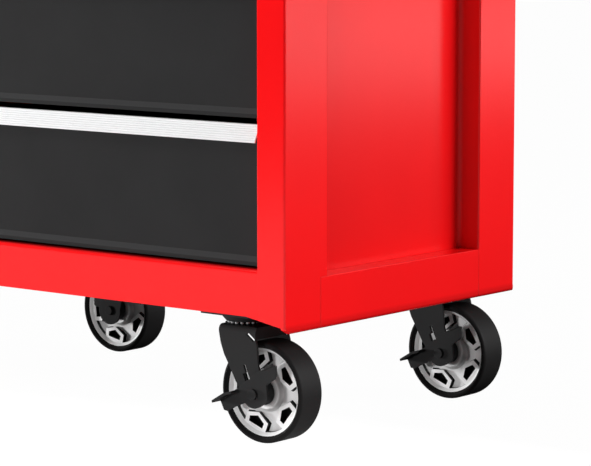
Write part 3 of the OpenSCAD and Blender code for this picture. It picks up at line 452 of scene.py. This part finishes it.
def anodised_aluminium(looks):
    """Drawn aluminium with streaks along the pull and painted shade in the grooves."""
    finish = Finish("anodised_aluminium")
    rounded = finish.round_edges(radius=0.25 * MM)
    streak = finish.noise(cells=1.0, detail=4.0, roughness=0.7, stretch=(3.0, 2600.0, 2600.0))
    cloud = finish.noise(cells=14.0)
    unshaded = finish.tones(streak * 0.5 + cloud * 0.3, looks.pull_silver, low=0.93)
    groove_shade = scaled(looks.pull_silver, 0.45)
    # Painted shade: darker where other faces stand close, in the grooves
    colour = finish.mix(finish.openness(1.6 * MM), groove_shade, unshaded)
    rough = finish.vary(0.45, streak, swing=0.14)
    normal = finish.bump(streak, distance=0.02 * MM, strength=0.4, normal=rounded)
    return finish.surface(Base_Color=colour, Metallic=0.1, Roughness=rough, Normal=normal)


def zinc_plate(looks):
    """Bright zinc with cloudy spangle and a faint yellow cast in places."""
    finish = Finish("zinc_plate")
    rounded = finish.round_edges(radius=0.4 * MM)
    cloud = finish.noise(cells=70.0, detail=4.0)
    grain = finish.noise(cells=700.0, stretch=(1.0, 0.08, 1.0))
    colour = finish.mix(cloud, scaled(looks.zinc_grey, 0.8), looks.zinc_cast)
    rough = finish.vary(0.38, cloud, swing=0.16)
    normal = finish.bump(grain, distance=0.02 * MM, strength=0.4, normal=rounded)
    return finish.surface(Base_Color=colour, Metallic=1.0, Roughness=rough, Normal=normal)


def bright_chrome(looks):
    """Polished plating with faint smears."""
    finish = Finish("bright_chrome")
    rounded = finish.round_edges(radius=0.4 * MM)
    smear = finish.noise(cells=26.0, detail=5.0, roughness=0.65)
    colour = finish.tones(smear, looks.chrome_grey, low=0.93)
    rough = finish.vary(0.15, smear, swing=0.14)
    return finish.surface(Base_Color=colour, Metallic=1.0, Roughness=rough, Normal=rounded)


def ground_steel(looks):
    """Pale ground steel of the bearing balls, with grease in places."""
    finish = Finish("ground_steel")
    grease = finish.noise(cells=160.0)
    colour = finish.tones(finish.ramp(grease, (0.35, 0.0), (0.6, 1.0)), looks.ball_grey, low=0.7)
    rough = finish.vary(0.3, grease, swing=0.1)
    return finish.surface(Base_Color=colour, Metallic=0.25, Roughness=rough)


def silver_hub(looks):
    """Silver lacquer with fine flake on moulded hubs, with painted shade in recesses, a painted
    highlight and shade round the boss, and black painted shade in the windows and on the frames' walls.
    """
    finish = Finish("silver_hub")
    low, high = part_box("hub_front_right")
    rounded = finish.round_edges(radius=0.7 * MM)
    flake = finish.noise(cells=2600.0, detail=1.0)
    cloud = finish.noise(cells=40.0)
    unshaded = finish.tones(cloud * 0.6 + flake * 0.4, looks.hub_silver, low=0.9)
    # Painted shade: darker in recesses and close to other parts
    open_face = finish.ramp(finish.openness(14 * MM), (0.12, 0.0), (0.7, 1.0))
    shaded = finish.mix(open_face, scaled(looks.hub_silver, 0.25), unshaded)
    middle = finish.from_middle()
    radius = finish.flat_radius(middle) * (high.x - low.x)
    depth = abs(finish.part(middle, "Y")) * (high.y - low.y)
    # Painted highlight and shade of a collar round the boss: a bright crescent, then a dark ring
    painted_collar = finish.ramp(radius * (1 / BOSS_SPAN), (0.32, 0.4), (0.37, 0.0), (0.41, 0.0),
                         (0.45, 0.65), (0.5, 0.4), (0.6, 0.2), (0.76, 0.0))
    silver = finish.mix(painted_collar, shaded, scaled(looks.hub_silver, 0.2))
    # Painted shade: black on the window floors and on the frames' walls
    windows = depth < WINDOW_DEPTH
    walls = (abs(finish.facing("Y")) < WALL_FACING) * finish.between(radius, *WALL_RING)
    colour = finish.mix(finish.math("MAXIMUM", windows, walls), silver, looks.window_shade_black)
    rough = finish.vary(0.35, flake, swing=0.1)
    normal = finish.bump(flake, distance=0.01 * MM, strength=0.3, normal=rounded)
    return finish.surface(Base_Color=colour, Metallic=0.06, Roughness=rough, Normal=normal)


def tyre_rubber(looks):
    """Smooth rubber with moulding rings on the sides and a dusty bloom."""
    finish = Finish("tyre_rubber")
    rings = finish.math("SINE", finish.flat_radius(finish.from_middle()) * TYRE_RINGS)
    bloom = finish.noise(cells=30.0, detail=4.0)
    grit = finish.noise(cells=900.0, detail=2.0)
    colour = finish.tones(bloom * 0.7 + grit * 0.3, looks.tyre_black, low=0.8, high=1.5)
    rough = finish.vary(0.56, bloom, swing=0.2)
    normal = finish.bump(rings * 0.5 + grit * 0.6, distance=0.06 * MM, strength=0.5)
    return finish.surface(Base_Color=colour, Roughness=rough, Normal=normal, Specular_IOR_Level=0.1)


def mat_rubber(looks):
    """Matt ribbed rubber with dust."""
    finish = Finish("mat_rubber")
    rounded = finish.round_edges(radius=0.5 * MM)
    dust = finish.noise(cells=18.0, detail=5.0)
    grit = finish.noise(cells=800.0)
    colour = finish.tones(dust * 0.6, looks.mat_black, low=1.0, high=2.2)
    rough = finish.vary(0.72, dust, swing=0.2)
    normal = finish.bump(grit, distance=0.1 * MM, strength=0.5, normal=rounded)
    return finish.surface(Base_Color=colour, Roughness=rough, Normal=normal)


def pale_floor(stage):
    """A floor that is nearly white to the camera, and paler in front of the case than beside it."""
    finish = Finish("pale_floor")
    spots = finish.place()
    ahead = finish.part(spots, "Y") * (-1 / (2 * stage.pale_depth))
    front = finish.ramp(ahead, (0.0, 0.0), (0.06, 1.0), (0.5, 1.0), (1.0, 0.0))
    near = front * (finish.vector("LENGTH", spots, output="Value") < stage.white_reach)
    far_tone = finish.mix(front, grey(stage.floor_dark), grey(stage.floor_pale))
    mirrored = finish.mix(near, far_tone, grey(stage.floor_lit))
    lit = finish.mix(front, grey(stage.floor_shade), grey(stage.floor_lit))
    tone = finish.mix(finish.ray("Glossy"), lit, mirrored)
    matt = finish.shader(Base_Color=tone, Roughness=1.0, Specular_IOR_Level=0.0)
    white = finish.add("ShaderNodeEmission", {}, {"Color": WHITE, "Strength": stage.floor_glow})
    return finish.join(finish.blend(finish.ray("Camera") * stage.floor_white, matt, white))


def dress(material, *nodes):
    """Gives CAD pieces their finish."""
    for name in nodes:
        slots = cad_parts[name].data.materials
        slots.clear()
        slots.append(material)


# Operators


class FinishCase(bpy.types.Operator):
    """Coats the folded sheet of the case in red, and its floor pan in black"""

    bl_idname = "cabinet.finish_case"
    bl_label = "Case"

    def execute(self, context):
        looks = context.scene.cabinet_finishes
        dress(red_powder_coat("red_powder_coat", looks, hem_painted_shade), *SHEET_NODES)
        dress(red_powder_coat("red_panel_coat", looks, panel_painted_shade), *SIDE_NODES)
        dress(textured_black_paint("floor_pan_paint", looks.caster_black, looks), "floor_pan")
        return {"FINISHED"}


class FinishDrawers(bpy.types.Operator):
    """Coats the drawers in black"""

    bl_idname = "cabinet.finish_drawers"
    bl_label = "Drawers"

    def execute(self, context):
        looks = context.scene.cabinet_finishes
        # The drawers' slanted bands get a painted highlight
        coat = textured_black_paint("drawer_paint", looks.drawer_black, looks, grain=1100.0,
                                    rough=0.6, shine=0.03, band_highlight=1.65)
        dress(coat, *(f"drawer_{number}" for number in DRAWERS))
        return {"FINISHED"}


class FinishPulls(bpy.types.Operator):
    """Anodises the ribbed pulls"""

    bl_idname = "cabinet.finish_pulls"
    bl_label = "Pulls"

    def execute(self, context):
        dress(anodised_aluminium(context.scene.cabinet_finishes),
              *(f"drawer_pull_{number}" for number in DRAWERS))
        return {"FINISHED"}


class FinishSlides(bpy.types.Operator):
    """Plates the slide members, kingpins and bolts with zinc"""

    bl_idname = "cabinet.finish_slides"
    bl_label = "Slides and bolts"

    def execute(self, context):
        zinc = zinc_plate(context.scene.cabinet_finishes)
        dress(zinc, "slide_rails", "kingpins", "caster_bolts")
        for number in DRAWERS:
            dress(zinc, f"slide_middle_{number}", f"drawer_rails_{number}")
        return {"FINISHED"}


class FinishCasters(bpy.types.Operator):
    """Coats the forks, plates, pedals and axles, and grinds the balls"""

    bl_idname = "cabinet.finish_casters"
    bl_label = "Casters"

    def execute(self, context):
        looks = context.scene.cabinet_finishes
        coat = textured_black_paint("fork_coating", looks.caster_black, looks, grain=1500.0,
                                    rough=0.5, depth=0.03 * MM, shine=0.05)
        dress(coat, *FORK_NODES, *PEDAL_NODES, *AXLE_NODES)
        dress(ground_steel(looks), "swivel_balls")
        return {"FINISHED"}


class FinishWheels(bpy.types.Operator):
    """Finishes the silver hubs and the tyres"""

    bl_idname = "cabinet.finish_wheels"
    bl_label = "Wheels"

    def execute(self, context):
        looks = context.scene.cabinet_finishes
        dress(silver_hub(looks), *(f"hub_{corner}" for corner in CORNERS))
        dress(tyre_rubber(looks), *(f"tyre_{corner}" for corner in CORNERS))
        return {"FINISHED"}


class FinishTop(bpy.types.Operator):
    """Finishes the ribbed mat on the top"""

    bl_idname = "cabinet.finish_top"
    bl_label = "Top mat"

    def execute(self, context):
        dress(mat_rubber(context.scene.cabinet_finishes), "top_mat")
        return {"FINISHED"}


class FinishHandle(bpy.types.Operator):
    """Plates the push handle and the lock, and coats the handle's brackets and end caps"""

    bl_idname = "cabinet.finish_handle"
    bl_label = "Push handle and lock"

    def execute(self, context):
        looks = context.scene.cabinet_finishes
        dress(bright_chrome(looks), "push_handle", "lock_housing", "lock_cylinder")
        black = textured_black_paint("bracket_coating", looks.caster_black, looks)
        dress(black, "handle_brackets", "handle_caps")
        return {"FINISHED"}


class BuildStage(bpy.types.Operator):
    """Sets the camera, the lamps, the sky and the pale floor"""

    bl_idname = "cabinet.build_stage"
    bl_label = "Stage"

    def execute(self, context):
        scene = context.scene
        stage = scene.cabinet_stage
        self.camera(scene, stage)
        self.lamps(scene, stage)
        self.sky(scene, stage)
        self.floor(scene, stage)
        scene.view_settings.view_transform = "Standard"
        return {"FINISHED"}

    @staticmethod
    def camera(scene, stage):
        """The view of the case's lower right corner."""
        data = bpy.data.cameras.new("camera")
        data.sensor_fit = "HORIZONTAL"
        data.sensor_width = SENSOR_WIDTH
        data.lens = stage.lens
        camera = bpy.data.objects.new("camera", data)
        scene.collection.objects.link(camera)
        camera.location = CORNER + Vector(stage.eye)
        camera.rotation_euler = (math.pi / 2 - stage.pitch, 0.0, stage.yaw)
        scene.camera = camera

    @staticmethod
    def lamps(scene, stage):
        """Three wide lamps that the paint mirrors and two low ones that it doesn't."""
        aim = Vector((CASE_MIDDLE.x, CASE_MIDDLE.y, CASE_MIDDLE.z * stage.aim_height))
        wide, small, flat = stage.lamp_size, stage.low_size, stage.low_height
        for name, watts, spot, width, height, mirrored in (
                ("key_lamp", stage.key_light, stage.key_place, wide, wide, True),
                ("side_lamp", stage.side_light, stage.side_place, wide, wide, True),
                ("glow_lamp", stage.glow_light, stage.glow_place, wide, stage.glow_height, True),
                ("fill_lamp", stage.fill_light, stage.fill_place, small, flat, False),
                ("rake_lamp", stage.rake_light, stage.rake_place, small, flat, False)):
            data = bpy.data.lights.new(name, "AREA")
            data.energy = watts
            data.shape = "ELLIPSE"
            data.size = width
            data.size_y = height
            lamp = bpy.data.objects.new(name, data)
            scene.collection.objects.link(lamp)
            lamp.location = spot
            lamp.visible_glossy = mirrored
            lamp.rotation_euler = (aim - Vector(spot)).to_track_quat("-Z", "Y").to_euler()

    @staticmethod
    def sky(scene, stage):
        """A weak even light that the camera sees as white."""
        world = bpy.data.worlds.new("studio_sky")
        scene.world = world
        world.use_nodes = True
        finish = Finish("studio_sky", world.node_tree)
        light, white = (finish.add("ShaderNodeBackground", {}, {"Color": WHITE, "Strength": strength})
                        for strength in (stage.sky_light, 1.0))
        finish.join(finish.blend(finish.ray("Camera"), light, white), "ShaderNodeOutputWorld")

    @staticmethod
    def floor(scene, stage):
        """The plane that the casters stand on."""
        shape = bmesh.new()
        bmesh.ops.create_grid(shape, x_segments=1, y_segments=1, size=stage.floor_size / 2)
        mesh = bpy.data.meshes.new("floor")
        shape.to_mesh(mesh)
        shape.free()
        mesh.materials.append(pale_floor(stage))
        plane = bpy.data.objects.new("floor", mesh)
        plane.matrix_world = Matrix.Translation((0, 0, cad_low.z))
        scene.collection.objects.link(plane)


OPERATORS = (BuildStage, FinishCase, FinishDrawers, FinishPulls, FinishSlides, FinishCasters,
             FinishWheels, FinishTop, FinishHandle)


class CabinetPanel(bpy.types.Panel):
    """Lists the steps that dress the cabinet, and the values that they use"""

    bl_idname = "VIEW3D_PT_cabinet"
    bl_label = "Rolling tool cabinet"
    bl_space_type = "VIEW_3D"
    bl_region_type = "UI"
    bl_category = "Cabinet"

    def draw(self, context):
        for operator in OPERATORS:
            self.layout.operator(operator.bl_idname)
        for group in (context.scene.cabinet_finishes, context.scene.cabinet_stage):
            for key in group.bl_rna.properties.keys():
                if key not in ("rna_type", "name"):
                    self.layout.prop(group, key)


CLASSES = (CabinetFinishes, CabinetStage, *OPERATORS, CabinetPanel)


def register():
    for item in CLASSES:
        bpy.utils.register_class(item)
    bpy.types.Scene.cabinet_finishes = PointerProperty(type=CabinetFinishes)
    bpy.types.Scene.cabinet_stage = PointerProperty(type=CabinetStage)


def unregister():
    del bpy.types.Scene.cabinet_stage
    del bpy.types.Scene.cabinet_finishes
    for item in reversed(CLASSES):
        bpy.utils.unregister_class(item)


def main():
    """Dresses the cabinet."""
    register()
    for operator in OPERATORS:
        space, name = operator.bl_idname.split(".")
        getattr(getattr(bpy.ops, space), name)()


if __name__ == "__main__":
    main()
